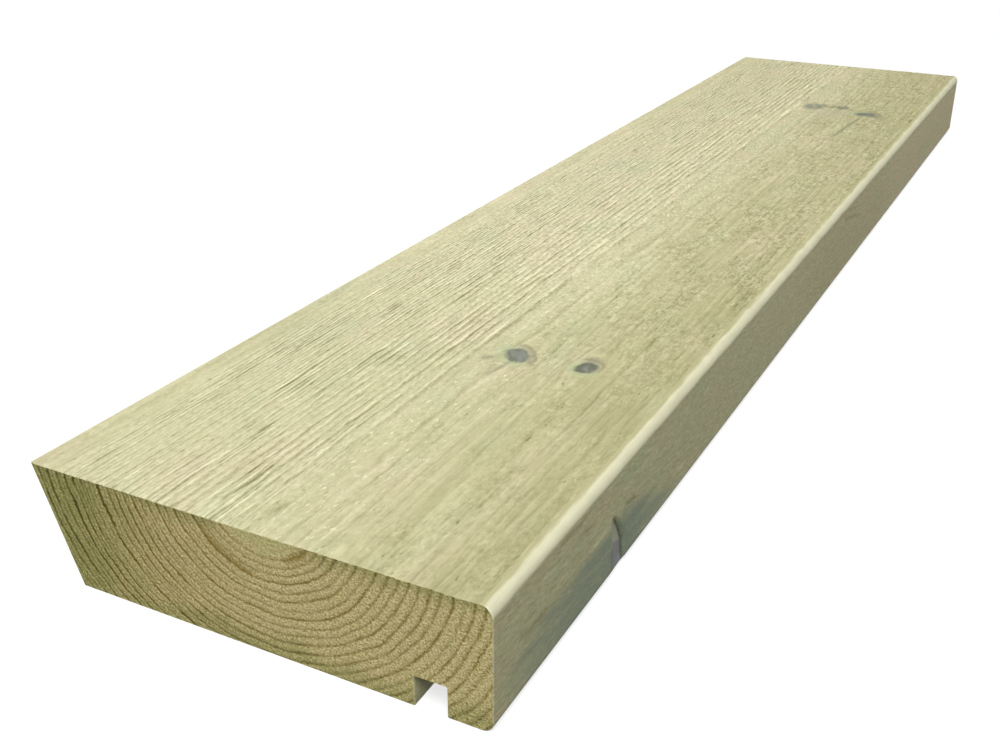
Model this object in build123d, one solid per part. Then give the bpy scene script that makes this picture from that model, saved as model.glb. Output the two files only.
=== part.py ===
from build123d import *

import os
from math import radians, tan

# Drip board: a length of pressure-treated softwood, moulded from one piece of timber.
# The board lies on its underside. X runs across it, from the bevelled back edge (-X) to the
# rounded front edge (+X), Y runs along its length and Z is up. The origin is under the middle
# of the board, at the level of its underside. Sizes are in millimetres and degrees.

# Board stock
BOARD_WIDTH = 125.0
BOARD_THICKNESS = 32.0
BOARD_LENGTH = 567.0

# Back edge: leans in below the top face, so that it stands flat against an upright wall
# when the board is fixed with its top falling outwards
BACK_BEVEL_ANGLE = 19.5

# Front edge: the upper and the lower arris are both rounded
TOP_ARRIS_RADIUS = 3.0
BOTTOM_ARRIS_RADIUS = 3.0

# Drip groove: a square-cut channel along the underside, behind the lip at the front edge
LIP_WIDTH = 11.0
GROOVE_WIDTH = 8.0
GROOVE_DEPTH = 8.0


def sharp_section():
    """The section before its arrises are rounded, with X across the board and Y up."""
    front = BOARD_WIDTH / 2
    back_top = -front
    back_bottom = back_top + BOARD_THICKNESS * tan(radians(BACK_BEVEL_ANGLE))
    lip_back = front - LIP_WIDTH
    groove_back = lip_back - GROOVE_WIDTH
    outline = Polyline(
        (back_bottom, 0),
        (groove_back, 0),
        (groove_back, GROOVE_DEPTH),
        (lip_back, GROOVE_DEPTH),
        (lip_back, 0),
        (front, 0),
        (front, BOARD_THICKNESS),
        (back_top, BOARD_THICKNESS),
        close=True,
    )
    return make_face(outline)


def board_section():
    """The finished section, with both arrises of the front edge rounded."""
    sharp = sharp_section()
    bottom_arris = sharp.vertices().group_by(Axis.X)[-1].sort_by(Axis.Y)[0]
    bottom_rounded = fillet(bottom_arris, BOTTOM_ARRIS_RADIUS)
    top_arris = bottom_rounded.vertices().group_by(Axis.Y)[-1].sort_by(Axis.X)[-1]
    return fillet(top_arris, TOP_ARRIS_RADIUS)


def drip_board():
    """The section run along the board, half of its length to each side of the origin."""
    return extrude(Plane.XZ * board_section(), BOARD_LENGTH / 2, both=True)


os.makedirs("parts", exist_ok=True)
export_step(drip_board(), "parts/drip_board.step")
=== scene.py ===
from collections import namedtuple
from math import atan2, copysign, cos, radians, sin, tan

import bpy
import numpy as np
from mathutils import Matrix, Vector
from mathutils.geometry import delaunay_2d_cdt


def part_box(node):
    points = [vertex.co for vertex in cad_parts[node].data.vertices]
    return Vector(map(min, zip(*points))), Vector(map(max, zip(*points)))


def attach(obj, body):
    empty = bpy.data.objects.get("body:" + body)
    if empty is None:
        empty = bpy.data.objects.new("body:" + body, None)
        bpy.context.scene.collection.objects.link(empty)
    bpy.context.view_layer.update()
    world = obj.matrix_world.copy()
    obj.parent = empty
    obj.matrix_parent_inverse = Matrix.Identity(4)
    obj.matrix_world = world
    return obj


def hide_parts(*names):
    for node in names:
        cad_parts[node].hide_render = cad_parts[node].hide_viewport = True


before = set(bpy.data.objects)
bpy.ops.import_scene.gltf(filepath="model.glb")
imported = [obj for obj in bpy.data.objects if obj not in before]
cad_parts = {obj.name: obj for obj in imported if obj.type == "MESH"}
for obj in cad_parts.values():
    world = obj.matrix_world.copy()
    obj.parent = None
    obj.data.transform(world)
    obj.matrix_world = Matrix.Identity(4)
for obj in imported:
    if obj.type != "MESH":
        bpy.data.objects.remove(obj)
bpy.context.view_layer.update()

# The drip board as a length of treated softwood. Sizes are in millimetres and degrees, in the model's own
# frame: X across the board to its rounded front edge, Y along it and Z up from its underside.
MM = 0.001
NODE = "drip_board"

low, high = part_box(NODE)
WIDTH, LENGTH, THICKNESS = ((b - a) / MM for a, b in zip(low, high))
FRONT = WIDTH / 2
BACK = -FRONT
NEAR_END = -LENGTH / 2
FAR_END = LENGTH / 2

# Section
BACK_BEVEL_ANGLE = 19.5
ARRIS_RADIUS = 3.0
LIP_WIDTH = 11.0
GROOVE_WIDTH = 8.0
GROOVE_DEPTH = 8.0
EASED_CORNER = 0.3
INNER_CORNER = 0.25
CORNER_STEPS = 2
UPPER_ARRIS_STEPS = 8
LOWER_ARRIS_STEPS = 6
END_CHAMFER = 0.2
SHARP_ANGLE = 35.0

# Mesh: gaps between points across each face, between stations along the board and between points on an end
RUN_GAPS = {"front": 0.7, "lip": 2.4, "groove": 2.4, "underside": 3.2, "back": 1.9}
TOP_GAPS = ((BACK, 0.8), (-55.0, 0.8), (-54.0, 0.46), (8.0, 0.46), (10.0, 0.62), (FRONT, 0.62))
STATION_GAP = 2.6
DETAIL_GAP = 1.05
DETAIL_REACH = 10.0
END_GAP = 1.2

# Relief of the sawn top below the full thickness, and of the marks in it
TOP_DEPTH = 0.16
LINE_DEPTH = 0.14
LINE_HALF_WIDTH = 0.4
SHOULDER_RISE = 0.05
SHOULDER_OFFSET = 0.75
ROUGH_DEPTH = 0.1
ROUGH_DEEPENS = (2.0, 22.0)
FINE_DEPTH = 0.05
KNOT_RIM_DEPTH = 0.15
KNOT_RIM_AT = 1.05
KNOT_RIM_HALF_WIDTH = 0.2
KNOT_RISE = 0.1
GOUGE_DEPTH = 0.3
CRACK_DEPTH = 0.15
FIBRE_RISE = 0.12
TOP_FADES_AT_ARRIS = (0.0, 1.2)
TOP_FADES_AT_BACK = (0.3, 1.4)
# Relief of the planed front, fading to its lower and upper edges, and of the sawn ends
FRONT_DEPTH = 0.05
FRONT_FADES_LOW = (2.4, 4.0)
FRONT_FADES_HIGH = (2.6, 4.0)
FRONT_WAVES = 0.04
END_DEPTH = 0.08
END_RING_RISE = 0.05
END_WAVES = 0.05
END_SAW_MARKS = 0.03
LATE_HALF_WIDTH = 0.5
END_FADE = 2.0
END_CLEARANCE = 0.45 * END_GAP
NEARNESS = 1e-6

# Growth rings: the pith runs along the board above its top face, and the rings are flattened circles round
# it, slowly wider outwards and a little uneven. How dark they are is given from the pith outwards
PITH_X = 6.1
PITH_Z = 38.4
RING_SQUASH = 0.89
FIRST_RING = 9.0
RING_WIDTH = 2.33
RING_WIDENS = 0.014
RING_UNEVEN = 0.3
RING_DARKNESS = (
    0.0, 0.3, 0.3, 0.8, 0.6, 0.6, 1.0, 0.6, 0.9, 0.6, 1.0, 0.6, 0.6, 0.9,
    0.8, 0.8, 0.6, 1.0, 0.4, 0.8, 0.8, 1.0, 0.6, 0.8, 0.7, 0.7, 0.7, 0.7,
)
# How far the grain waves and ripples from side to side
GRAIN_WAVE = 0.5
GRAIN_RIPPLE = 0.22
# How far out a knot bends the grain, across and along, in half sizes of the knot
BEND_WIDTH = 1.7
BEND_LENGTH = 3.2
# How far the rings stray from their circles, across and up
RING_STRAY_X = 0.5
RING_STRAY_Z = 0.4
# Broad dark bands of latewood near the pith: distance from it, half width, two angles from straight down
CRESCENTS = ((14.0, 1.3, 24.0, 62.0), (20.0, 1.2, -62.0, -12.0))

# Zones across the top face: where each of them begins and where it has come or gone
LINES_FAINT_BEHIND = (-59.0, -50.0)
LINES_CLEAR = (-34.0, -20.0)
LINES_FADE = (4.0, 16.0)
REAR_BEGINS = (-57.0, -51.0)
REAR_ENDS = (-18.0, -30.0)
COMBED_BEGINS = (-58.0, -48.0)
COMBED_ENDS = (14.0, -8.0)
ROUGH_BEGINS = (2.0, 28.0)
OLIVE_BEGINS = (-6.0, 42.0)
BACK_EDGE = (-52.0, -58.0)
FRONT_EDGE = (38.0, 56.0)
NIBS_BEGIN = (-4.0, 6.0)
NIBS_END = (28.0, 16.0)
# Zones along the board
LINES_DEEPER = (-220.0, -120.0)
FINE_LINES_BEGIN = (-285.0, -190.0)
COARSER = (-220.0, -60.0)
PINKER = (-220.0, 60.0)
BLEACHED_BEGINS = (-200.0, -90.0)
BLEACHED_FADES = (20.0, 180.0)
WEATHERED_BEGINS = (0.0, 200.0)
DULL_BEGINS = (-180.0, 20.0)
FRONT_EDGE_FADES = (-60.0, -120.0)
REDDER = (-140.0, 140.0)
FRONT_DIMS = (-70.0, 0.0)
FRONT_CLEARS = (60.0, 130.0)
# Zone up the front face
FRONT_LIGHTER = (12.0, 24.0)

# Knots on the top face. Push is how far one shoves the grain aside, collar the direction of its collar,
# softness that of its edge and shade how dark its heart is
Knot = namedtuple("Knot", "x y half_width half_length turn push collar softness shade")
KNOTS = (
    Knot(12.7, -174.7, 3.4, 4.7, 36.0, 0.85, 0.0, 0.22, 0.35),
    Knot(33.5, -173.4, 2.9, 3.7, -12.0, 0.85, 70.0, 0.22, 0.8),
    Knot(36.4, 165.6, 4.8, 3.6, 10.0, 0.8, 0.0, 0.4, 0.9),
)
# Grey stains at the top's knots and round them: place, half width, half length and strength
GREY_STAINS = (
    (33.4, -167.6, 3.4, 1.7, 0.55),
    (8.5, 171.2, 6.2, 8.6, 0.7),
    (23.0, 174.8, 3.6, 4.0, 0.75),
    (36.8, 165.0, 8.0, 6.0, 0.45),
    (43.0, 160.6, 4.0, 3.0, 0.4),
)
# A pale greyish patch between the far knots
PALE_PATCHES = ((20.5, 161.0, 8.5, 9.0, 0.7),)
# Gouges and fine cracks in the top face, painted darker as painted shade in them: from, to, half width and
# strength
GOUGES = (
    (-10.8, -262.0, -10.3, -270.5, 0.75, 0.9),
    (51.6, -194.0, 51.2, -217.5, 0.5, 0.6),
    (41.2, -231.0, 42.4, -243.0, 0.55, 0.6),
    (42.4, -243.0, 42.0, -253.0, 0.55, 0.6),
    (3.1, -269.0, 3.3, -276.0, 0.6, 0.6),
    (-21.2, -203.0, -21.4, -210.0, 0.5, 0.5),
    (-26.5, -97.0, -26.6, -102.0, 0.7, 0.7),
    (13.9, -145.0, 13.4, -164.0, 0.5, 0.6),
    (-24.0, -170.0, -24.2, -180.0, 0.6, 0.7),
    (43.4, -143.0, 43.7, -157.0, 0.6, 0.7),
)
# Cracks and tails of the knots, stained green
CRACKS = (
    (13.0, -178.5, 11.0, -191.0, 0.7, 0.7),
    (4.6, -181.2, 7.2, -178.6, 1.2, 0.7),
    (11.6, 178.0, 15.6, 173.0, 1.3, 1.0),
    (15.4, 172.0, 19.0, 176.0, 1.3, 0.9),
    (18.4, 176.0, 22.6, 173.0, 1.3, 1.0),
    (24.0, 174.0, 29.0, 171.0, 1.0, 0.6),
    (35.4, 162.0, 31.6, 108.0, 0.8, 0.8),
    (39.6, 172.0, 41.2, 203.0, 0.6, 0.4),
    (30.0, 166.5, 42.0, 163.5, 0.9, 0.5),
)
# Torn fibres that stand up in the top face, painted lighter, partly pale wood and partly a painted
# highlight: from, to, half width and strength
PALE_AND_HIGHLIT_FIBRES = (
    (6.4, -126.0, 6.2, -150.0, 0.55, 0.7),
    (5.6, -152.0, 5.2, -165.0, 0.6, 0.7),
    (0.6, -102.0, 0.9, -115.0, 0.5, 0.6),
    (11.4, -121.0, 11.5, -128.0, 0.6, 0.8),
    (30.6, -165.8, 35.4, -163.2, 1.2, 1.0),
    (6.2, -177.0, 8.4, -168.0, 0.6, 0.7),
    (-1.0, 140.0, 1.4, 177.0, 1.4, 1.0),
    (2.2, 158.0, 4.6, 176.0, 1.0, 0.8),
    (9.3, -227.0, 9.4, -231.0, 0.6, 0.9),
    (16.6, -264.0, 16.2, -268.5, 0.7, 0.8),
    (24.4, -280.0, 24.8, -283.0, 0.9, 0.9),
    (56.0, -270.5, 56.2, -272.5, 0.8, 0.9),
)

# Grey-green stain low on the front face: where it is along the board, its upper edge and its strength
STAIN_ALONG = (-283.0, -268.0, -250.0, -232.0, -220.0, -214.0, -205.0, -192.0, -168.0)
STAIN_HEIGHT = (14.0, 15.5, 16.5, 16.0, 16.0, 17.0, 15.5, 10.5, 6.0)
STAIN_STRENGTH = (0.1, 0.4, 0.75, 0.9, 0.9, 1.1, 1.0, 0.65, 0.0)
STAIN_FADE = (-4.5, 2.0)
# Dark and pale streaks on the front face: from and to, along the board and up it, half width and strength
DARK_STREAKS = (
    (-273.0, 16.2, -257.0, 15.2, 0.7, 0.8),
    (-277.0, 8.0, -266.0, 11.0, 0.6, 0.6),
    (-255.0, 27.4, -236.0, 27.6, 0.5, 0.7),
    (-243.0, 24.4, -232.0, 22.8, 0.5, 0.6),
    (-214.8, 18.2, -206.0, 16.2, 0.7, 0.9),
    (-205.0, 13.0, -190.0, 11.0, 0.6, 0.5),
    (9.0, 26.5, 46.0, 18.0, 0.7, 0.6),
    (16.0, 28.0, 38.0, 23.5, 0.5, 0.5),
)
PALE_STREAKS = (
    (-235.0, 16.4, -222.5, 16.9, 0.5, 0.9),
    (-262.0, 24.0, -252.0, 23.4, 0.5, 0.5),
    (-176.0, 8.0, -170.0, 7.2, 0.5, 0.6),
    (-202.0, 26.0, -196.0, 25.2, 0.5, 0.6),
)
# Torn knot in that stain: its two edges along the board at four heights, and its depth at the deeper one
TEAR_MIDDLE = -218.0
TEAR_HEIGHT = (2.0, 8.0, 13.0, 18.5)
TEAR_SHALLOW_EDGE = (-221.0, -221.3, -222.3, -222.0)
TEAR_DEEP_EDGE = (-213.8, -214.5, -217.2, -221.2)
TEAR_DEPTH = 0.9
TEAR_TOP = TEAR_HEIGHT[-1]
TEAR_FADES_LOW = (0.5, 3.5)
TEAR_FADES_HIGH = (0.0, 2.0)
# Heights on the front where the torn knot's lip, bare wood and shallow edge begin and are at their full
LIP_PALES = (18.0, 14.0)
BARE_BEGINS = (11.5, 10.5)
SHALLOW_EDGE_BEGINS = (10.0, 8.0)

DETAILS_AT = np.array([knot.y for knot in KNOTS] + [TEAR_MIDDLE])


def eased(t):
    """A ramp from 0 to 1 that starts and ends level."""
    t = np.clip(t, 0.0, 1.0)
    return t * t * (3 - 2 * t)


def ramp(value, start, end):
    return eased((value - start) / (end - start))


def bump(distance):
    """1 at no distance, falling to about nothing at 2."""
    return np.exp(-distance * distance)


def wavy(u, v, seed):
    """A smooth random field from -1 to 1, with about one swell for each unit of u and of v."""
    u, v = np.broadcast_arrays(np.asarray(u, float), np.asarray(v, float))
    u, v = u - u.min(), v - v.min()
    heights = np.random.default_rng(seed).uniform(-1, 1, (int(u.max()) + 2, int(v.max()) + 2))
    i, j = u.astype(int), v.astype(int)
    s, t = eased(u - i), eased(v - j)
    near = heights[i, j] * (1 - s) + heights[i + 1, j] * s
    far = heights[i, j + 1] * (1 - s) + heights[i + 1, j + 1] * s
    return near * (1 - t) + far * t


def ring_radii():
    """Distances from the pith at which the rings end, the pith itself first."""
    widths = RING_WIDTH + RING_WIDENS * np.arange(len(RING_DARKNESS) - 2)
    radii = FIRST_RING + np.concatenate([[0.0], np.cumsum(widths)])
    uneven = RING_UNEVEN * np.random.default_rng(71).uniform(-1, 1, len(radii))
    return np.concatenate([[0.0], radii + uneven])


RING_RADII = ring_radii()


def rings_at(x, z):
    """Growth rings between the pith and a place, the width of the ring there and how dark its end is."""
    distance = np.hypot(x - PITH_X, (PITH_Z - z) / RING_SQUASH)
    count = np.interp(distance, RING_RADII, np.arange(len(RING_RADII)))
    gap = np.interp(distance, (RING_RADII[1:] + RING_RADII[:-1]) / 2, np.diff(RING_RADII))
    return count, gap, np.interp(distance, RING_RADII, RING_DARKNESS)


def nearest_knot(x, y):
    """Distance from the nearest knot's middle, 1 at its rim."""
    distance = np.full(x.shape, np.inf)
    for knot in KNOTS:
        c, s = cos(radians(knot.turn)), sin(radians(knot.turn))
        u = ((x - knot.x) * c + (y - knot.y) * s) / knot.half_width
        v = ((y - knot.y) * c - (x - knot.x) * s) / knot.half_length
        distance = np.minimum(distance, np.hypot(u, v))
    return distance


def spots(x, y, places):
    """Soft oval spots, each given by its place, two half sizes and strength."""
    clear = np.ones(x.shape)
    for at_x, at_y, half_x, half_y, strength in places:
        distance = np.hypot((x - at_x) / half_x, (y - at_y) / half_y)
        clear = clear * (1 - strength * (1 - ramp(distance, 0.5, 1.3)))
    return 1 - clear


def strokes(x, y, places):
    """Thin straight strokes that taper to both ends."""
    marks = np.zeros(x.shape)
    for x0, y0, x1, y1, half_width, strength in places:
        length = np.hypot(x1 - x0, y1 - y0)
        along = ((x - x0) * (x1 - x0) + (y - y0) * (y1 - y0)) / length
        aside = ((x - x0) * (y1 - y0) - (y - y0) * (x1 - x0)) / length
        taper = ramp(along, -1.0, 0.25 * length) * ramp(-along, -length - 1.0, -0.75 * length)
        marks = np.maximum(marks, strength * taper * bump(aside / half_width))
    return marks


def front_stain(y, z):
    """Strength of the stain on the front face."""
    above = z - np.interp(y, STAIN_ALONG, STAIN_HEIGHT)
    return np.interp(y, STAIN_ALONG, STAIN_STRENGTH) * (1 - ramp(above, *STAIN_FADE))


def torn_knot(y, z):
    """How far a place is across the torn knot, from 0 at its shallow edge to 1 at its deep one."""
    shallow = np.interp(z, TEAR_HEIGHT, TEAR_SHALLOW_EDGE)
    deep = np.interp(z, TEAR_HEIGHT, TEAR_DEEP_EDGE)
    return np.clip((y - shallow) / (deep - shallow), -1.0, 2.0)


def crescents(x, z):
    """Strength of the broad dark bands near the pith."""
    aside, below = x - PITH_X, (PITH_Z - z) / RING_SQUASH
    distance, angle = np.hypot(aside, below), np.degrees(np.arctan2(aside, below))
    strength = np.zeros(x.shape)
    for radius, half_width, start, end in CRESCENTS:
        share = np.clip((angle - start) / (end - start), 0.0, 1.0)
        width = half_width * np.sin(np.pi * share) ** 0.5 + 0.01
        strength = np.maximum(strength, 1 - ramp(np.abs(distance - radius) / width, 0.6, 1.4))
    return strength


def outline_corners():
    """The section's corners, clockwise from the near end: place, radius, steps, its face and the next."""
    foot = BACK + THICKNESS * tan(radians(BACK_BEVEL_ANGLE))
    lip = FRONT - LIP_WIDTH
    inner = lip - GROOVE_WIDTH
    return (
        (BACK, THICKNESS, EASED_CORNER, CORNER_STEPS, "top", "top"),
        (FRONT, THICKNESS, ARRIS_RADIUS, UPPER_ARRIS_STEPS, "arris", "front"),
        (FRONT, 0.0, ARRIS_RADIUS, LOWER_ARRIS_STEPS, "front", "lip"),
        (lip, 0.0, EASED_CORNER, CORNER_STEPS, "lip", "groove"),
        (lip, GROOVE_DEPTH, INNER_CORNER, CORNER_STEPS, "groove", "groove"),
        (inner, GROOVE_DEPTH, INNER_CORNER, CORNER_STEPS, "groove", "groove"),
        (inner, 0.0, EASED_CORNER, CORNER_STEPS, "groove", "underside"),
        (foot, 0.0, EASED_CORNER, CORNER_STEPS, "underside", "back"),
    )


def corner_arc(before, corner, after, radius, steps):
    """Points round a corner of the outline, and their outward normals."""
    came = (corner - before) / np.hypot(*(corner - before))
    goes = (after - corner) / np.hypot(*(after - corner))
    turn = atan2(came[0] * goes[1] - came[1] * goes[0], came @ goes)
    start = corner - came * radius * tan(abs(turn) / 2)
    outwards = np.array([-came[1], came[0]])
    centre = start + outwards * copysign(radius, turn)
    angles = turn * np.arange(steps + 1) / steps
    turned = np.array([[np.cos(angles), -np.sin(angles)], [np.sin(angles), np.cos(angles)]])
    return centre + np.einsum("ijk,j->ki", turned, start - centre), np.einsum("ijk,j->ki", turned, outwards)


def run_points(face, start, end):
    """Points between the ends of a straight run, spaced as the face needs."""
    if face != "top":
        count = max(2, round(np.hypot(*(end - start)) / RUN_GAPS[face]))
        return start + (end - start) * (np.arange(1, count) / count)[:, None]
    at, gaps = zip(*TOP_GAPS)
    xs = [start[0]]
    while xs[-1] < end[0]:
        xs.append(xs[-1] + np.interp(xs[-1], at, gaps))
    xs = np.interp(xs, (xs[0], xs[-1]), (start[0], end[0]))[1:-1]
    return np.column_stack([xs, np.full(len(xs), start[1])])


def section():
    """The section's points and outward normals, and the face that each step to the next point lies on."""
    corners = outline_corners()
    places = np.array([corner[:2] for corner in corners])
    arcs = []
    for i, corner in enumerate(corners):
        radius, steps = corner[2:4]
        arcs.append(corner_arc(places[i - 1], places[i], places[(i + 1) % len(places)], radius, steps))
    points, normals, faces = [], [], []
    for i, (arc, arc_normals) in enumerate(arcs):
        face, face_after = corners[i][4:]
        run = run_points(face_after, arc[-1], arcs[(i + 1) % len(arcs)][0][0])
        points += [arc, run]
        normals += [arc_normals, np.repeat(arc_normals[-1:], len(run), axis=0)]
        faces += [face] * (len(arc) - 1) + [face_after] * (len(run) + 1)
    return np.concatenate(points), np.concatenate(normals), np.array(faces)


def stations():
    """Places along the board where the section stands, closer together at the knots."""
    first, last = NEAR_END + END_CHAMFER, FAR_END - END_CHAMFER
    ys = [first]
    while ys[-1] < last:
        closeness = bump(np.abs(DETAILS_AT - ys[-1]).min() / DETAIL_REACH)
        ys.append(ys[-1] + STATION_GAP + closeness * (DETAIL_GAP - STATION_GAP))
    ys = np.interp(ys, (ys[0], ys[-1]), (first, last))
    return np.concatenate([[NEAR_END], ys, [FAR_END]])


def grain_across(x, y):
    """Place across the top face with the grain's waves, and its bends round the knots, taken out."""
    across = x + GRAIN_WAVE * wavy(x / 11, y / 60, seed=1) + GRAIN_RIPPLE * wavy(x / 2.6, y / 11, seed=2)
    for knot in KNOTS:
        aside = x - knot.x
        near_x = bump(aside / (BEND_WIDTH * knot.half_width))
        near_y = bump((y - knot.y) / (BEND_LENGTH * knot.half_length))
        across = across - aside * knot.push * (near_x * near_y)
    return across


def line_strength(x, y, lines, darkness):
    """How strongly the top shows its lines: clear behind the middle, faint along both edges."""
    zone = (0.12 + 0.88 * ramp(x, *LINES_FAINT_BEHIND)) * (0.4 + 0.6 * darkness)
    zone = zone * (0.45 + 0.55 * ramp(x, *LINES_CLEAR))
    zone = zone * (1 - 0.72 * ramp(x + 4 * wavy(x / 20, y / 40, seed=21), *LINES_FADE))
    zone = zone * (1 + 0.35 * ramp(y, *LINES_DEEPER))
    dashes = 0.72 + 0.42 * wavy(lines, y / 24, seed=22) + 0.22 * wavy(lines * 1.7, y / 8, seed=23)
    return zone * np.clip(dashes, 0.1, 1.2)


def board_fields(x, y, z):
    """What the wood's materials read at each point."""
    across = grain_across(x, y)
    lines, line_gap, line_dark = rings_at(across, THICKNESS)
    stray_x = RING_STRAY_X * wavy(x / 6, z / 6, seed=61)
    stray_z = RING_STRAY_Z * wavy(x / 7, z / 7, seed=62)
    rings, ring_gap, ring_dark = rings_at(x + stray_x, z + stray_z)
    on_front = ramp(x, FRONT - ARRIS_RADIUS, FRONT - ARRIS_RADIUS / 2)
    return {
        "across": across,
        "lines": lines,
        "line_gap": line_gap,
        "line": line_strength(x, y, lines, line_dark),
        "grey": spots(x, y, GREY_STAINS),
        "pale": spots(x, y, PALE_PATCHES),
        "gouge": strokes(x, y, GOUGES),
        "crack": strokes(x, y, CRACKS),
        "fibre": strokes(x, y, PALE_AND_HIGHLIT_FIBRES),
        "rings": rings,
        "ring_gap": ring_gap,
        "ring_dark": ring_dark,
        "olive": crescents(x, z),
        "stain": on_front * front_stain(y, z),
        "tear": torn_knot(y, z),
        "streaks": on_front * (strokes(y, z, PALE_STREAKS) - strokes(y, z, DARK_STREAKS)),
    }


def top_relief(x, y, fields):
    """Depth of the sawn face below the board's full thickness."""
    off_line = (fields["lines"] - np.round(fields["lines"])) * fields["line_gap"]
    shoulder = bump((np.abs(off_line) - SHOULDER_OFFSET) / LINE_HALF_WIDTH)
    line = LINE_DEPTH * bump(off_line / LINE_HALF_WIDTH) - SHOULDER_RISE * shoulder
    depth = TOP_DEPTH + fields["line"] * line
    depth = depth + ROUGH_DEPTH * ramp(x, *ROUGH_DEEPENS) * wavy(fields["across"] / 1.4, y / 6.5, seed=31)
    depth = depth + FINE_DEPTH * wavy(fields["across"] / 0.9, y / 9, seed=32)
    knot = nearest_knot(x, y)
    depth = depth + KNOT_RIM_DEPTH * bump((knot - KNOT_RIM_AT) / KNOT_RIM_HALF_WIDTH)
    depth = depth - KNOT_RISE * (1 - ramp(knot, 0.6, 1.0))
    depth = depth + GOUGE_DEPTH * fields["gouge"] + CRACK_DEPTH * fields["crack"]
    depth = depth - FIBRE_RISE * fields["fibre"]
    inside = ramp(FRONT - ARRIS_RADIUS - x, *TOP_FADES_AT_ARRIS) * ramp(x - BACK, *TOP_FADES_AT_BACK)
    return np.clip(depth, 0.0, None) * inside


def front_relief(y, z, fields):
    """Depth of the planed front face below the board's full width."""
    flat = ramp(z, *FRONT_FADES_LOW) * ramp(THICKNESS - z, *FRONT_FADES_HIGH)
    share = fields["tear"]
    torn = np.clip(share, 0.0, 1.0) * (1 - ramp(share, 1.0, 1.2)) * ramp(TEAR_TOP - z, *TEAR_FADES_HIGH)
    planed = FRONT_DEPTH + FRONT_WAVES * wavy(y / 16, z / 1.5, seed=41)
    return flat * planed + TEAR_DEPTH * torn * ramp(z, *TEAR_FADES_LOW)


def end_relief(x, z):
    """Depth of a sawn end below the board's full length, fading to nothing at its edges."""
    rings, gap = rings_at(x, z)[:2]
    late = bump((rings - np.round(rings)) * gap / LATE_HALF_WIDTH)
    depth = END_DEPTH - END_RING_RISE * late + END_WAVES * wavy(x / 1.6, z / 1.6, seed=51)
    depth = depth + END_SAW_MARKS * wavy((x + z) / 1.3, (x - z) / 9, seed=52)
    inside = ramp(np.minimum.reduce([z, THICKNESS - z, FRONT - x]), 0.0, END_FADE)
    return np.clip(depth, 0.0, None) * inside


def end_points(outline):
    """Points spread over the inside of an end, in staggered rows."""
    xs = np.arange(BACK, FRONT, END_GAP)
    zs = np.arange(END_GAP / 2, THICKNESS, END_GAP)
    rows = [np.column_stack([xs + END_GAP / 2 * (i % 2), np.full(len(xs), z)]) for i, z in enumerate(zs)]
    spread = np.concatenate(rows)
    inside = np.zeros(len(spread), bool)
    clearance = np.full(len(spread), np.inf)
    for (x0, z0), (x1, z1) in zip(outline, np.roll(outline, -1, axis=0)):
        step = np.array([x1 - x0, z1 - z0])
        share = np.clip((spread - (x0, z0)) @ step / (step @ step), 0, 1)
        clearance = np.minimum(clearance, np.hypot(*(spread - (x0, z0) - share[:, None] * step).T))
        if z0 != z1:
            crosses = (z0 > spread[:, 1]) != (z1 > spread[:, 1])
            inside ^= crosses & (spread[:, 0] < x0 + (spread[:, 1] - z0) * (x1 - x0) / (z1 - z0))
    return spread[inside & (clearance > END_CLEARANCE)]


def end_triangles(outline, spread):
    """Triangles over an end, as places in the outline and then the spread points, facing the near end."""
    places = np.concatenate([outline, spread])
    border = list(range(len(outline)))
    made = delaunay_2d_cdt([Vector(place) for place in places], [], [border], 1, NEARNESS)
    given = np.array([sources[0] for sources in made[3]])
    triangles = given[np.array(made[2])]
    first, second, third = (places[triangles[:, k]] for k in range(3))
    area = (second - first)[:, 0] * (third - first)[:, 1] - (second - first)[:, 1] * (third - first)[:, 0]
    triangles[area < 0] = triangles[area < 0][:, ::-1]
    return triangles


MATERIALS = {"top": 0, "end": 1, "front": 2, "arris": 3, "lip": 2, "groove": 2, "underside": 2, "back": 2}
# Share of the unwrapped map's width that each face gets, with the ends in a strip of their own above them
CHARTS = {
    "top": 0.52, "arris": 0.04, "front": 0.13, "lip": 0.03, "groove": 0.07, "underside": 0.12, "back": 0.09,
}
CHART_MARGIN = 0.004
END_STRIP = 0.1


def side_map(outline, faces, ys):
    """Where the unwrapped map puts both sides of each column of side quads, and each station."""
    steps = np.hypot(*(np.roll(outline, -1, axis=0) - outline).T)
    columns = np.zeros((len(outline), 2))
    left = 0.0
    for face, share in CHARTS.items():
        mine = faces == face
        reach = np.concatenate([[0.0], np.cumsum(steps[mine])])
        place = left + CHART_MARGIN + reach / reach[-1] * (share - 2 * CHART_MARGIN)
        columns[mine] = np.column_stack([place[:-1], place[1:]])
        left += share
    return columns, CHART_MARGIN + (ys - NEAR_END) / LENGTH * (1 - END_STRIP - 2 * CHART_MARGIN)


def end_map(places, end):
    """Where the unwrapped map puts places on an end, 0 for the near one and 1 for the far one."""
    u = (end + CHART_MARGIN + (places[:, 0] - BACK) / WIDTH * (1 - 2 * CHART_MARGIN)) / 2
    v = 1 - END_STRIP + CHART_MARGIN + places[:, 1] / THICKNESS * (END_STRIP - 2 * CHART_MARGIN)
    return np.column_stack([u, v])


def face_points(faces, face):
    """Which of the section's points lie on a face, its two edges among them."""
    return (faces == face) | (np.roll(faces, 1) == face)


def pick(fields, part):
    return {name: field[:, part] for name, field in fields.items()}


def side_points(outline, normals, faces, ys):
    """Points of the sides, station by station, and their fields."""
    x, y = np.meshgrid(outline[:, 0], ys)
    z = np.meshgrid(outline[:, 1], ys)[0]
    fields = board_fields(x, y, z)
    depth = np.zeros_like(x)
    top, front = face_points(faces, "top"), face_points(faces, "front")
    depth[:, top] = top_relief(x[:, top], y[:, top], pick(fields, top))
    depth[:, front] = front_relief(y[:, front], z[:, front], pick(fields, front))
    depth[[0, -1]] += END_CHAMFER
    points = np.stack([x - normals[:, 0] * depth, y, z - normals[:, 1] * depth], axis=-1)
    return points.reshape(-1, 3), {name: field.ravel() for name, field in fields.items()}


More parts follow.
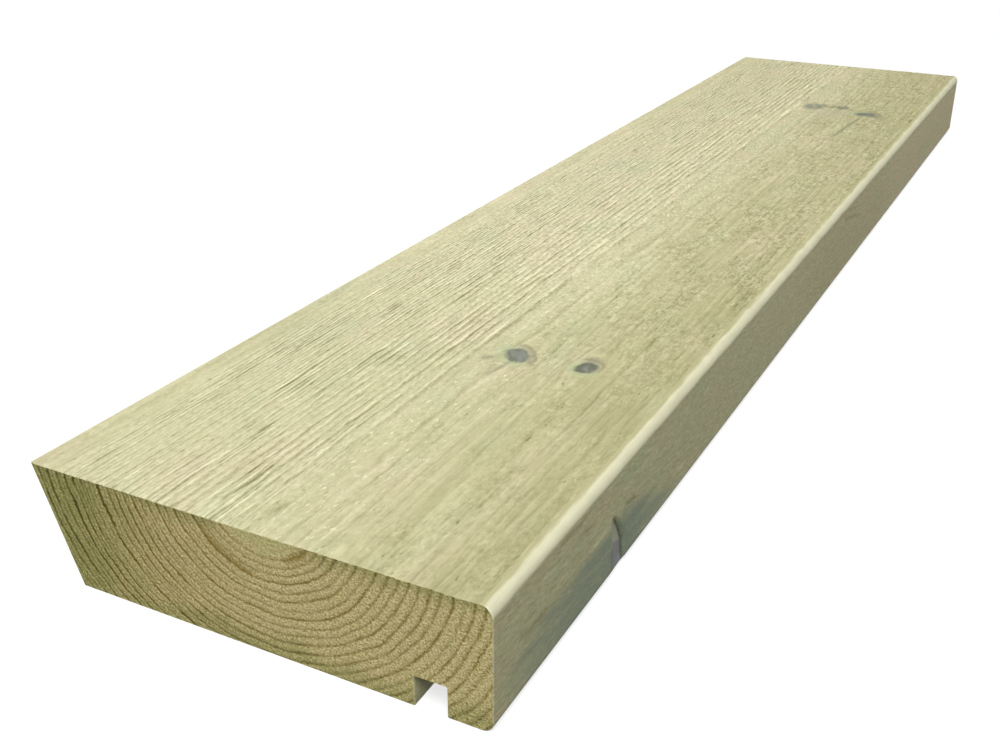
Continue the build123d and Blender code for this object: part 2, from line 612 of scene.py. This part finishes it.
def side_quads(rows, columns):
    """Station and column of each side quad, and its four corners."""
    j, i = (grid.ravel() for grid in np.meshgrid(np.arange(rows - 1), np.arange(columns), indexing="ij"))
    after = (i + 1) % columns
    corners = (j * columns + i, j * columns + after, (j + 1) * columns + after, (j + 1) * columns + i)
    return j, i, np.column_stack(corners)


def write_mesh(points, fields, polygons, slots, unwrapped):
    """A mesh of these points and polygons, with their materials, unwrapped map and fields."""
    mesh = bpy.data.meshes.new("drip_board_timber")
    mesh.from_pydata((np.concatenate(points) * MM).tolist(), [], polygons)
    mesh.polygons.foreach_set("material_index", np.array(slots, np.int32))
    mesh.polygons.foreach_set("use_smooth", np.ones(len(slots), bool))
    mesh.uv_layers.new(name="OFBake").data.foreach_set("uv", np.concatenate(unwrapped).ravel())
    for name, parts in fields.items():
        attribute = mesh.attributes.new(name, "FLOAT", "POINT")
        attribute.data.foreach_set("value", np.concatenate(parts).astype(np.float32))
    mesh.set_sharp_from_angle(angle=radians(SHARP_ANGLE))
    return mesh


def board_mesh():
    """The whole board: its sides run from station to station, and its two ends."""
    outline, normals, faces = section()
    ys = stations()
    points, fields = side_points(outline, normals, faces, ys)
    j, i, quads = side_quads(len(ys), len(outline))
    across, along = side_map(outline, faces, ys)
    corners_u = np.column_stack([across[i, 0], across[i, 1], across[i, 1], across[i, 0]])
    corners_v = np.column_stack([along[j], along[j], along[j + 1], along[j + 1]])
    all_points, all_fields = [points], {name: [field] for name, field in fields.items()}
    polygons = quads.tolist()
    slots = [MATERIALS[faces[column]] for column in i]
    unwrapped = [np.stack([corners_u, corners_v], axis=-1).reshape(-1, 2)]

    spread = end_points(outline)
    triangles = end_triangles(outline, spread)
    count = len(points)
    for end, (y, inwards) in enumerate(((NEAR_END, 1.0), (FAR_END, -1.0))):
        x, z = spread.T
        all_points.append(np.column_stack([x, y + inwards * end_relief(x, z), z]))
        for name, field in board_fields(x, np.full(len(x), y), z).items():
            all_fields[name].append(field)
        first = end * (len(points) - len(outline))
        index = np.concatenate([first + np.arange(len(outline)), count + np.arange(len(spread))])
        facing = triangles if inwards > 0 else triangles[:, ::-1]
        polygons += index[facing].tolist()
        slots += [MATERIALS["end"]] * len(facing)
        unwrapped.append(end_map(np.concatenate([outline, spread])[facing].reshape(-1, 2), end))
        count += len(spread)
    return write_mesh(all_points, all_fields, polygons, slots, unwrapped)


def srgb(red, green, blue):
    """A colour given as it looks on a screen, from 0 to 255, as the linear numbers that a shader takes."""
    shares = np.array([red, green, blue]) / 255
    linear = np.where(shares <= 0.04045, shares / 12.92, ((shares + 0.055) / 1.055) ** 2.4)
    return (*linear, 1.0)


class Field:
    """A number that varies over a surface, worked out by a material's nodes."""

    def __init__(self, tree, socket):
        self.tree = tree
        self.socket = socket

    def __add__(self, other):
        return self.tree.maths("ADD", self, other)

    def __sub__(self, other):
        return self.tree.maths("SUBTRACT", self, other)

    def __rsub__(self, other):
        return self.tree.maths("SUBTRACT", other, self)

    def __mul__(self, other):
        return self.tree.maths("MULTIPLY", self, other)

    def __truediv__(self, other):
        return self.tree.maths("DIVIDE", self, other)

    def __pow__(self, other):
        return self.tree.maths("POWER", self, other)

    def __abs__(self):
        return self.tree.maths("ABSOLUTE", self)

    __radd__ = __add__
    __rmul__ = __mul__


# How far noise is stretched, the wood's sheen, and how much more its blue changes than its other colours
NOISE_GAIN = 5.0
SPECULAR = 0.3
YELLOWISH = 1.28


class Wood:
    """A material of wood, with a short call for each kind of node that it needs."""

    def __init__(self, name):
        self.material = bpy.data.materials.new(name)
        self.material.use_nodes = True
        self.nodes = self.material.node_tree.nodes
        self.links = self.material.node_tree.links
        self.surface = self.nodes["Principled BSDF"]
        place = self.nodes.new("ShaderNodeTexCoord").outputs["Object"]
        parts = self.nodes.new("ShaderNodeSeparateXYZ")
        self.links.new(place, parts.inputs[0])
        self.x, self.y, self.z = (Field(self, out) / MM for out in parts.outputs)

    def feed(self, socket, value):
        if isinstance(value, Field):
            self.links.new(value.socket, socket)
        elif isinstance(value, bpy.types.NodeSocket):
            self.links.new(value, socket)
        else:
            socket.default_value = value

    def maths(self, operation, *values):
        node = self.nodes.new("ShaderNodeMath")
        node.operation = operation
        for socket, value in zip(node.inputs, values):
            self.feed(socket, value)
        return Field(self, node.outputs[0])

    def larger(self, first, second):
        return self.maths("MAXIMUM", first, second)

    def smaller(self, first, second):
        return self.maths("MINIMUM", first, second)

    def read(self, name):
        node = self.nodes.new("ShaderNodeAttribute")
        node.attribute_name = name
        return Field(self, node.outputs["Fac"])

    def vector(self, u, v, w):
        node = self.nodes.new("ShaderNodeCombineXYZ")
        for socket, value in zip(node.inputs, (u, v, w)):
            self.feed(socket, value)
        return node.outputs[0]

    def wave(self, u, v, layer, detail=2.0, roughness=0.5, distortion=0.0):
        """Smooth noise from about -1 to 1, a swell or so per unit of u and v. A layer is a slice of it."""
        node = self.nodes.new("ShaderNodeTexNoise")
        self.feed(node.inputs["Vector"], self.vector(u, v, layer))
        node.inputs["Scale"].default_value = 1.0
        node.inputs["Detail"].default_value = detail
        node.inputs["Roughness"].default_value = roughness
        node.inputs["Distortion"].default_value = distortion
        return (Field(self, node.outputs[0]) - 0.5) * NOISE_GAIN

    def ramp(self, value, start, end):
        node = self.nodes.new("ShaderNodeMapRange")
        node.interpolation_type = "SMOOTHSTEP"
        for socket, given in zip(node.inputs, (value, start, end, 0.0, 1.0)):
            self.feed(socket, given)
        return Field(self, node.outputs[0])

    def band(self, value, inner, outer):
        """1 where the value is under inner either way, 0 past outer."""
        return 1.0 - self.ramp(abs(value), inner, outer)

    def fraction(self, value):
        """How far a count is from its nearest whole number, from -0.5 to 0.5."""
        return self.maths("FRACT", value + 0.5) - 0.5

    def mix(self, first, second, share):
        node = self.nodes.new("ShaderNodeMix")
        node.data_type = "RGBA"
        colours = [socket for socket in node.inputs if socket.type == "RGBA"]
        self.feed(node.inputs["Factor"], share)
        self.feed(colours[0], first)
        self.feed(colours[1], second)
        return next(socket for socket in node.outputs if socket.type == "RGBA")

    def shade(self, colour, amount, blue=YELLOWISH):
        """A colour made lighter or darker, with the blue in it changed most, as in a yellowish wood."""
        node = self.nodes.new("ShaderNodeVectorMath")
        node.operation = "MULTIPLY"
        lighter = 1.0 + amount
        self.feed(node.inputs[0], colour[:3] if isinstance(colour, tuple) else colour)
        self.feed(node.inputs[1], self.vector(lighter, lighter, 1.0 + blue * amount))
        return node.outputs[0]

    def finish(self, colour, roughness, height):
        """Sets the surface: its colour, roughness and relief in millimetres."""
        relief = self.nodes.new("ShaderNodeBump")
        relief.inputs["Strength"].default_value = 1.0
        relief.inputs["Distance"].default_value = MM
        self.feed(relief.inputs["Height"], height)
        self.feed(self.surface.inputs["Base Color"], colour)
        self.feed(self.surface.inputs["Roughness"], roughness)
        self.feed(self.surface.inputs["Normal"], relief.outputs[0])
        self.surface.inputs["Specular IOR Level"].default_value = SPECULAR
        return self.material


PALE = srgb(221, 216, 173)
OLIVE = srgb(201, 196, 150)
PINKISH = srgb(225, 211, 176)
GREENISH = srgb(208, 214, 170)
# The top's texture is worked out in steps, each of which is so much relief and so much lighter: painted
# highlight where raised, painted shade where sunk
STEP_RELIEF = 0.035
STEP_PAINTED_SHADE = 0.1
SAWN_ROUGHNESS = 0.8


def sawn_face():
    """The top: fine-sawn, with raised grain lines, a rougher front third and dead knots."""
    wood = Wood("sawn_softwood")
    across, y = wood.read("across"), wood.y
    drifted = across + 4 * wood.wave(across / 18, y / 60, 0.3)
    rough, olive = wood.ramp(drifted, *ROUGH_BEGINS), wood.ramp(drifted, *OLIVE_BEGINS)
    torn = wood.ramp(wood.wave(across / 7, y / 20, 4.4), -0.8, 0.6)
    fuzz = wood.wave(across / 0.83, y / 2, 2.0, detail=3, roughness=0.65)
    steps = grain_lines(wood, across, torn) + torn_fibres(wood, across, rough, torn, fuzz)
    steps = steps - 3.2 * wood.read("gouge") + 2.4 * wood.read("fibre")

    tone = sawn_tone(wood, across, olive)
    # Painted highlight on raised fibres, crests, nibs and shoulders and painted shade in grooves, gouges
    # and pits, over the grain's own darker lines
    colour = wood.shade(sawn_tint(wood, across, olive), STEP_PAINTED_SHADE * steps + tone)
    for knot in KNOTS:
        colour = knotted(wood, colour, knot)
    return wood.finish(stained(wood, colour, fuzz), SAWN_ROUGHNESS, STEP_RELIEF * steps)


def nibbed_part(wood, across):
    """How far a place lies in the strip of the top that has the most nibs."""
    return wood.ramp(across, *NIBS_BEGIN) * wood.ramp(across, *NIBS_END)


def swerve(wood, across):
    """Small swerves of the top's grain from side to side."""
    return wood.wave(across / 1.67, wood.y / 9, 1.3)


def sawn_tone(wood, across, olive):
    """How much lighter or darker the top is: bleached behind, weathered in front and dull at its edges."""
    y = wood.y
    bleached = 0.11 * wood.ramp(y, *BLEACHED_BEGINS) * (1.0 - 0.4 * wood.ramp(y, *BLEACHED_FADES))
    weathered = 0.035 * wood.ramp(y, *WEATHERED_BEGINS)
    nibbed = nibbed_part(wood, across)
    dull = 0.055 * nibbed * wood.ramp(y, *DULL_BEGINS) + 0.045 * wood.ramp(across, *BACK_EDGE)
    dull = dull + wood.ramp(across, *FRONT_EDGE) * (0.045 + 0.065 * wood.ramp(y, *FRONT_EDGE_FADES))
    return bleached * (1.0 - olive) - weathered * olive - dull


def sawn_tint(wood, across, olive):
    """The top's colour: pale behind, olive in front, with pinkish and greenish drifts."""
    y = wood.y
    pink = wood.ramp(wood.wave(across / 14, y / 40, 3.7, detail=3), -0.1, 1.0) + 0.4 * wood.ramp(y, *PINKER)
    green = wood.ramp(wood.wave(across / 14, y / 40, 9.1, detail=3), 0.0, 1.0)
    tinted = 0.4 - 0.15 * olive
    colour = wood.mix(wood.mix(PALE, OLIVE, olive), PINKISH, pink * tinted)
    return wood.mix(colour, GREENISH, green * tinted)


def grain_lines(wood, across, torn):
    """Steps of the top's grain lines: dark grooves with a raised shoulder, and finer ones behind them."""
    y = wood.y
    lines, gap, line = (wood.read(name) for name in ("lines", "line_gap", "line"))
    wobble = swerve(wood, across)
    off_line = wood.fraction(lines) * gap + 0.2 * wobble
    broken = wood.ramp(wood.wave(lines * 2, y / 14, 5.5, detail=3), -0.7, 0.5)
    groove = wood.band(off_line, 0.06, 0.52) * line * (0.35 + 0.8 * broken)
    whole = wood.ramp(wood.wave(lines * 3, y / 10, 8.8, detail=3), -0.5, 0.5)
    shoulder = wood.band(off_line - 0.85, 0.1, 0.5) * line * whole

    rear = wood.ramp(across, *REAR_BEGINS) * wood.ramp(across, *REAR_ENDS) * (0.35 + 0.75 * torn)
    off_fine = wood.fraction(lines * 2) * gap / 2 + 0.12 * wobble
    fine = 2.5 * wood.band(off_fine - 0.38, 0.03, 0.34) - 2.5 * wood.band(off_fine, 0.04, 0.34)
    begun = 0.35 + 0.65 * wood.ramp(y, *FINE_LINES_BEGIN)
    return 4.6 * shoulder - 3.8 * groove + fine * rear * begun


def torn_fibres(wood, across, rough, torn, fuzz):
    """Steps of the top's torn fibres: combed along the grain behind, lumpy with smooth patches in front."""
    y = wood.y
    combed = wood.ramp(across, *COMBED_BEGINS) * wood.ramp(across, *COMBED_ENDS)
    crest = wood.ramp(wood.wave(across / 0.77, y / 18, 2.2), 0.2, 1.0)
    hollow = wood.ramp(wood.wave(across / 0.77, y / 14, 6.2), 0.2, 1.0)
    steps = 3.2 * (crest - hollow) * combed * (0.15 + 0.85 * torn)

    patchy = wood.ramp(wood.wave(across / 11, y / 26, 14.0), -0.9, 0.7)
    busy = 1.0 + rough * (0.9 * patchy - 0.6)
    coarse = 0.75 + 0.75 * wood.ramp(y, *COARSER)
    nibbed = nibbed_part(wood, across)
    nib = wood.ramp(wood.wave(across, y / 2.7, 11.0) + 0.3 * nibbed, 0.7, 1.3) * (1.0 + 0.4 * nibbed)
    pit = wood.ramp(wood.wave(across / 1.1, y / 4.5, 12.0), 0.7, 1.4)
    steps = steps + busy * ((1.4 + combed) * coarse * fuzz + 3.4 * nib - 3.4 * pit)

    wobble = swerve(wood, across)
    swell = wood.wave(across / 2 + 0.3 * wobble, y / 30, 7.2) * (1.0 - combed)
    lump = wood.wave(across / 1.8 + 0.5 * wobble, y / 5, 4.0, detail=3, roughness=0.65, distortion=0.5)
    return steps + swell + 1.5 * lump * coarse * busy * (0.35 + 0.65 * rough)


KNOT_HEART = srgb(152, 156, 143)
KNOT_SHADE = srgb(114, 118, 98)
KNOT_COLLAR = srgb(190, 184, 152)
KNOT_RING = srgb(152, 145, 108)
KNOT_HALO = srgb(196, 206, 162)
KNOT_SQUARENESS = 2.5


def knotted(wood, colour, knot):
    """The top's colour with a knot: a grey heart, a collar on one side and a green halo on the other."""
    x, y = wood.x, wood.y
    c, s = cos(radians(knot.turn)), sin(radians(knot.turn))
    aside, along = x - knot.x, y - knot.y
    u = (aside * c + along * s) / knot.half_width
    v = (along * c - aside * s) / knot.half_length
    edge = (abs(u) ** KNOT_SQUARENESS + abs(v) ** KNOT_SQUARENESS) ** (1 / KNOT_SQUARENESS)
    edge = edge + 0.15 * wood.wave(x / 2, y / 2.5, 7.7, detail=4, roughness=0.6)
    collar_side = u * cos(radians(knot.collar)) + v * sin(radians(knot.collar))
    collar_side = wood.ramp(collar_side, 0.1, 0.9)

    arcs = 0.2 + 0.8 * wood.ramp(wood.wave(edge * 2.2, u * 0.3, 3.0), -0.5, 0.5)
    colour = wood.mix(colour, KNOT_HALO, wood.ramp(edge, 2.3, 1.0) * (1.0 - collar_side) * arcs * 0.85)
    ragged = edge + 0.14 * wood.wave(x / 1.1, y / 1.25, 5.2, detail=3)
    colour = wood.mix(colour, KNOT_COLLAR, wood.ramp(ragged, 1.75, 1.25) * collar_side * 0.8)
    colour = wood.mix(colour, KNOT_RING, wood.band(ragged - 1.42, 0.05, 0.3) * collar_side * 0.55)

    mottle = wood.wave(x / 2 + y / 5, y / 4.5, 0.4, detail=3, roughness=0.55)
    heart = wood.shade(KNOT_HEART, 0.1 * mottle)
    heart = wood.mix(heart, KNOT_SHADE, wood.ramp(edge - 0.3 * mottle, 0.4, 1.1) * 0.6)
    heart = wood.mix(heart, KNOT_SHADE, knot.shade * (0.4 + 0.6 * wood.ramp(mottle, 0.9, -0.4)))
    heart = wood.mix(heart, KNOT_COLLAR, wood.ramp(edge, 0.6, 1.1) * collar_side * 0.4)
    return wood.mix(colour, heart, wood.ramp(edge, 1.0 + knot.softness, 1.0 - knot.softness))


GREY_STAIN = srgb(150, 153, 134)
GREY_PALE = srgb(208, 199, 175)
CRACK_GREEN = srgb(120, 128, 96)


def stained(wood, colour, fuzz):
    """The top's colour with the grey stains and green cracks at its knots."""
    grey, pale, crack = (wood.read(name) for name in ("grey", "pale", "crack"))
    colour = wood.mix(colour, GREY_PALE, pale * 0.6)
    ragged = wood.wave(wood.x / 3, wood.y / 6, 15.0, detail=3) * wood.ramp(grey, 0.0, 0.3)
    grey = wood.ramp(grey + 0.1 * fuzz + 0.25 * ragged, 0.05, 0.95)
    colour = wood.mix(colour, GREY_STAIN, grey * 0.9)
    return wood.mix(colour, CRACK_GREEN, crack * 0.8)


END_PALE = srgb(239, 223, 157)
END_GREEN = srgb(196, 190, 116)
END_LATE = srgb(154, 124, 22)
END_OLIVE = srgb(78, 76, 6)
END_PITH = srgb(225, 217, 148)
END_BLUE = 1.8
END_ROUGHNESS = 0.85
FALSE_RINGS = (10.0, -25.0)
# Where the treatment went in: from the back, from below, from above and off to the pith's sides
TREATED_BACK = (-12.0, -56.0)
TREATED_BELOW = (8.0, 1.0)
TREATED_ABOVE = (27.0, 32.0)
TREATED_BESIDE_PITH = (9.0, 16.0)


def end_grain():
    """The sawn ends: growth rings round the pith, darker and greener where the treatment went in."""
    wood = Wood("end_grain")
    x, z, rings = wood.x, wood.z, wood.read("rings")
    blotch = wood.wave(x / 10, z / 10, 1.0, detail=3)
    wet = treated_part(wood, blotch)
    pith = wood.ramp(rings + 0.5 * blotch, 3.2, 1.0)
    colour = wood.mix(wood.mix(END_PALE, END_GREEN, wet), END_PITH, pith)

    late = wood.mix(END_LATE, END_OLIVE, wet)
    colour = wood.mix(colour, late, latewood(wood, rings, wet, pith))
    colour = wood.mix(colour, END_LATE, wood.read("olive") * 0.55)
    speck = wood.wave(x * 1.7, z * 1.7, 5.0, detail=3, roughness=0.75) * (1.0 - 0.45 * pith)
    clump = wood.wave(x / 1.25, z / 1.25, 9.0)
    saw = wood.wave((x + z) / 0.83, (x - z) / 5, 6.0)
    colour = wood.shade(colour, 0.53 * speck + 0.07 * clump + 0.06 * saw, END_BLUE)
    return wood.finish(colour, END_ROUGHNESS, 0.12 * speck + 0.03 * saw)


def treated_part(wood, blotch):
    """How far the treatment has darkened an end: at its back, and in from its lower and upper edges."""
    x, z = wood.x, wood.z
    back = wood.ramp(x + 6 * blotch, *TREATED_BACK)
    lower = 0.7 * wood.ramp(z + 2 * blotch, *TREATED_BELOW)
    beside_pith = wood.ramp(abs(x - PITH_X), *TREATED_BESIDE_PITH)
    upper = 0.7 * wood.ramp(z + 1.2 * blotch, *TREATED_ABOVE) * beside_pith
    return wood.larger(back, wood.larger(lower, upper))


def latewood(wood, rings, wet, pith):
    """How much latewood an end shows: a thin line and a soft band per ring, and false rings at the back."""
    x, z = wood.x, wood.z
    gap, darkness = wood.read("ring_gap"), wood.read("ring_dark")
    wobble = 0.18 * wood.wave(x / 1.4, z / 1.4, 2.0) + 0.1 * wood.wave(x * 1.9, z * 1.9, 3.0)
    off = wood.fraction(rings) * gap + wobble
    fades = 0.4 + 0.6 * wood.ramp(wood.wave(x / 6, z / 6, 8.0), -1.0, 0.4)
    thin = wood.band(off, 0.06, 0.55 + 0.2 * wet) * fades * (1.0 - 0.7 * pith)
    soft = wood.ramp(off, -1.6, 0.0) * wood.ramp(off, 0.4, 0.0) * (1.0 - 0.5 * pith)
    back = wood.ramp(x, *FALSE_RINGS)
    off_false = wood.fraction(rings + 0.5) * gap + wobble
    false_ring = wood.band(off_false, 0.05, 0.45) * back * (1.35 - fades)
    return wood.smaller(1.0, darkness * (thin * (0.66 + 0.3 * back) + 0.26 * soft) + 0.7 * false_ring)


PLANED = srgb(211, 208, 160)
PLANED_RED = srgb(220, 200, 157)
PLANED_GREEN = srgb(200, 208, 160)
STAIN = srgb(160, 171, 144)
TORN_WOOD = srgb(162, 164, 163)
TORN_LIP = srgb(190, 197, 164)
TORN_EDGE_AND_SHADOW = srgb(96, 106, 88)
GRAIN_SLOPE = 0.1
PLANED_ROUGHNESS = 0.75


def planed_edge():
    """The planed edges, the underside and the groove, with the stain and the torn knot on the front."""
    wood = Wood("planed_softwood")
    y, u = wood.y, wood.x + wood.z + GRAIN_SLOPE * wood.y
    red = wood.ramp(wood.wave(u / 5, y / 30, 1.0, detail=3), 0.1, 1.1) + 0.8 * wood.ramp(y, *REDDER)
    green = wood.ramp(wood.wave(u / 7, y / 36, 4.0, detail=3), 0.0, 1.0)
    colour = wood.mix(wood.mix(PLANED, PLANED_RED, red * 0.5), PLANED_GREEN, green * 0.6)

    streak = wood.wave(u / 0.9, y / 6, 2.0, detail=3, roughness=0.65)
    fleck = wood.wave(u / 0.65, y / 2, 8.0)
    grain = 0.14 * streak + 0.12 * fleck
    scratched = wood.ramp(wood.wave(u / 6, y / 25, 3.0), 0.0, 0.9)
    scratch = wood.ramp(wood.wave(u / 0.9, y / 11, 6.0), 0.5, 1.2) * scratched
    # Painted light along the board: the front is lighter towards its far end, dimmer before its middle and
    # lighter past it
    tone = 0.14 * wood.ramp(y, NEAR_END, FAR_END) + 0.045 * wood.ramp(wood.z, *FRONT_LIGHTER) - 0.035
    tone = tone - 0.065 * wood.ramp(y, *FRONT_DIMS) + 0.125 * wood.ramp(y, *FRONT_CLEARS)
    colour = wood.shade(colour, tone + grain - 0.26 * scratch + 0.42 * wood.read("streaks"))
    cloud = wood.wave(u / 3, y / 16, 9.0, detail=3)
    stain = wood.ramp(wood.read("stain") * (1.0 + 0.4 * streak + 0.35 * cloud), 0.0, 1.0)
    colour = wood.mix(colour, wood.shade(STAIN, 0.6 * grain), stain)
    return wood.finish(torn_colours(wood, colour), PLANED_ROUGHNESS, 0.02 * streak + 0.01 * fleck)


def torn_colours(wood, colour):
    """The front's colour with the torn knot: a pale lip, bare grey wood below it and dark edges, the deep
    one a painted shadow.
    """
    tear, z = wood.read("tear"), wood.z
    on_front = wood.ramp(wood.x, FRONT - ARRIS_RADIUS, FRONT - ARRIS_RADIUS / 2)
    here = on_front * wood.ramp(z, TEAR_TOP + 0.2, TEAR_TOP - 0.6)
    inside = wood.ramp(tear, 0.0, 0.08) * wood.ramp(tear, 1.02, 0.94) * here
    colour = wood.mix(colour, TORN_LIP, inside * wood.ramp(z, *LIP_PALES))
    colour = wood.mix(colour, TORN_WOOD, inside * wood.ramp(z + 3 * tear, *BARE_BEGINS))
    beyond = wood.ramp(tear, 0.98, 1.02) * wood.ramp(tear, 1.9, 1.0) * here
    colour = wood.shade(colour, -0.14 * beyond)
    shallow_edge = wood.band(tear, 0.02, 0.1) * wood.ramp(z, *SHALLOW_EDGE_BEGINS) * here
    colour = wood.mix(colour, TORN_EDGE_AND_SHADOW, shallow_edge * 0.5)
    # Painted shadow along the deep edge, where the torn knot's hollow steps back up to the face
    deep_edge_shadow = wood.band(tear - 1.0, 0.02, 0.14) * here
    return wood.mix(colour, TORN_EDGE_AND_SHADOW, deep_edge_shadow * 0.8)


ARRIS_PALE_AND_HIGHLIT = srgb(236, 233, 198)
ARRIS_ROUGHNESS = 0.6
ARRIS_PALES = (FRONT - 2.4, FRONT - 1.5)
ARRIS_BEGINS = (THICKNESS - 2.9, THICKNESS - 2.2)


def planed_arris():
    """The rounded upper arris: smooth, and paler than the sawn face that runs into it, partly paler planed
    wood and partly a painted highlight.
    """
    wood = Wood("planed_arris")
    x, y, z = wood.x, wood.y, wood.z
    streak = wood.wave(x / 0.83, y / 12, 2.0, detail=3)
    worn = wood.wave(x / 2.5, y / 7, 5.0)
    # Pale along the middle of the rounding: paler planed wood and a painted highlight
    colour = wood.mix(OLIVE, ARRIS_PALE_AND_HIGHLIT, wood.ramp(x + 0.2 * streak + 0.12 * worn, *ARRIS_PALES))
    colour = wood.mix(PLANED, colour, wood.ramp(z + 0.25 * streak, *ARRIS_BEGINS))
    colour = wood.shade(colour, 0.05 * streak + 0.04 * worn)
    return wood.finish(colour, ARRIS_ROUGHNESS, 0.02 * streak)


def build_board():
    board = bpy.data.objects.new("drip_board_timber", board_mesh())
    bpy.context.scene.collection.objects.link(board)
    for material in (sawn_face(), end_grain(), planed_edge(), planed_arris()):
        board.data.materials.append(material)
    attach(board, "root")
    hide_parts(NODE)


# Studio, in metres: a large light in front of the board, above it and to its right, a weak one low behind
# it, an even sky, and a white floor inside a round white wall
FLOOR_HALF = 10.0
WALL_RADIUS = 9.0
WALL_HEIGHT = 8.0
WALL_SIDES = 64
STUDIO_GREY = 0.35
STUDIO_GLOW = 0.73
KEY_TOWARDS = Vector((0.27, -0.55, 1.0))
KEY_POWER = 378.0
KEY_SIZE = 3.0
FILL_TOWARDS = Vector((-0.9, 0.8, 0.02))
FILL_POWER = 130.0
FILL_SIZE = 1.0
LIGHT_DISTANCE = 6.0
SKY_LEVEL = 0.09
WHITE = (1.0, 1.0, 1.0, 1.0)


def studio_paint():
    paint = bpy.data.materials.new("studio_white")
    paint.use_nodes = True
    surface = paint.node_tree.nodes["Principled BSDF"]
    surface.inputs["Base Color"].default_value = (STUDIO_GREY, STUDIO_GREY, STUDIO_GREY, 1.0)
    surface.inputs["Roughness"].default_value = 1.0
    surface.inputs["Specular IOR Level"].default_value = 0.0
    surface.inputs["Emission Color"].default_value = WHITE
    surface.inputs["Emission Strength"].default_value = STUDIO_GLOW
    return paint


def add_stage(name, points, faces, paint):
    mesh = bpy.data.meshes.new(name)
    mesh.from_pydata(points, [], faces)
    mesh.materials.append(paint)
    stage = bpy.data.objects.new(name, mesh)
    bpy.context.scene.collection.objects.link(stage)
    stage.visible_diffuse = False
    return stage


def build_studio():
    """A white floor, and a round white wall behind it that casts nothing on the board."""
    paint = studio_paint()
    half = FLOOR_HALF
    corners = [(-half, -half, 0), (half, -half, 0), (half, half, 0), (-half, half, 0)]
    add_stage("studio_floor", corners, [(0, 1, 2, 3)], paint)

    angles = np.arange(WALL_SIDES) * 2 * np.pi / WALL_SIDES
    foot = [(WALL_RADIUS * cos(angle), WALL_RADIUS * sin(angle), 0.0) for angle in angles]
    head = [(x, y, WALL_HEIGHT) for x, y, z in foot]
    steps = [(i, (i + 1) % WALL_SIDES) for i in range(WALL_SIDES)]
    faces = [(i, after, after + WALL_SIDES, i + WALL_SIDES) for i, after in steps]
    wall = add_stage("studio_wall", foot + head, faces, paint)
    wall.visible_glossy = False
    wall.visible_shadow = False


def build_lamp(name, towards, power, size):
    lamp = bpy.data.lights.new(name, "AREA")
    lamp.size = size
    lamp.energy = power
    holder = bpy.data.objects.new(name, lamp)
    holder.location = towards.normalized() * LIGHT_DISTANCE
    holder.rotation_euler = towards.to_track_quat("Z", "Y").to_euler()
    bpy.context.scene.collection.objects.link(holder)


def build_light():
    build_lamp("key", KEY_TOWARDS, KEY_POWER, KEY_SIZE)
    build_lamp("fill", FILL_TOWARDS, FILL_POWER, FILL_SIZE)
    scene = bpy.context.scene
    scene.world = bpy.data.worlds.new("studio")
    scene.world.use_nodes = True
    sky = scene.world.node_tree.nodes["Background"]
    sky.inputs["Color"].default_value = WHITE
    sky.inputs["Strength"].default_value = SKY_LEVEL
    scene.view_settings.view_transform = "Standard"


# Camera: place, directions and lens
CAMERA_PLACE = (153.3, -454.5, 174.5)
CAMERA_AZIMUTH = 27.59
CAMERA_ELEVATION = 25.45
CAMERA_LENS = 43.54
CAMERA_SENSOR = 36.0
CAMERA_CLIP = 10.0


def build_camera():
    lens = bpy.data.cameras.new("camera")
    lens.lens = CAMERA_LENS
    lens.sensor_width = CAMERA_SENSOR
    lens.clip_start = CAMERA_CLIP * MM
    camera = bpy.data.objects.new("camera", lens)
    camera.location = Vector(CAMERA_PLACE) * MM
    camera.rotation_euler = (radians(90.0 - CAMERA_ELEVATION), 0.0, radians(CAMERA_AZIMUTH))
    bpy.context.scene.collection.objects.link(camera)
    bpy.context.scene.camera = camera


build_board()
build_studio()
build_light()
build_camera()

bpy.context.view_layer.update()
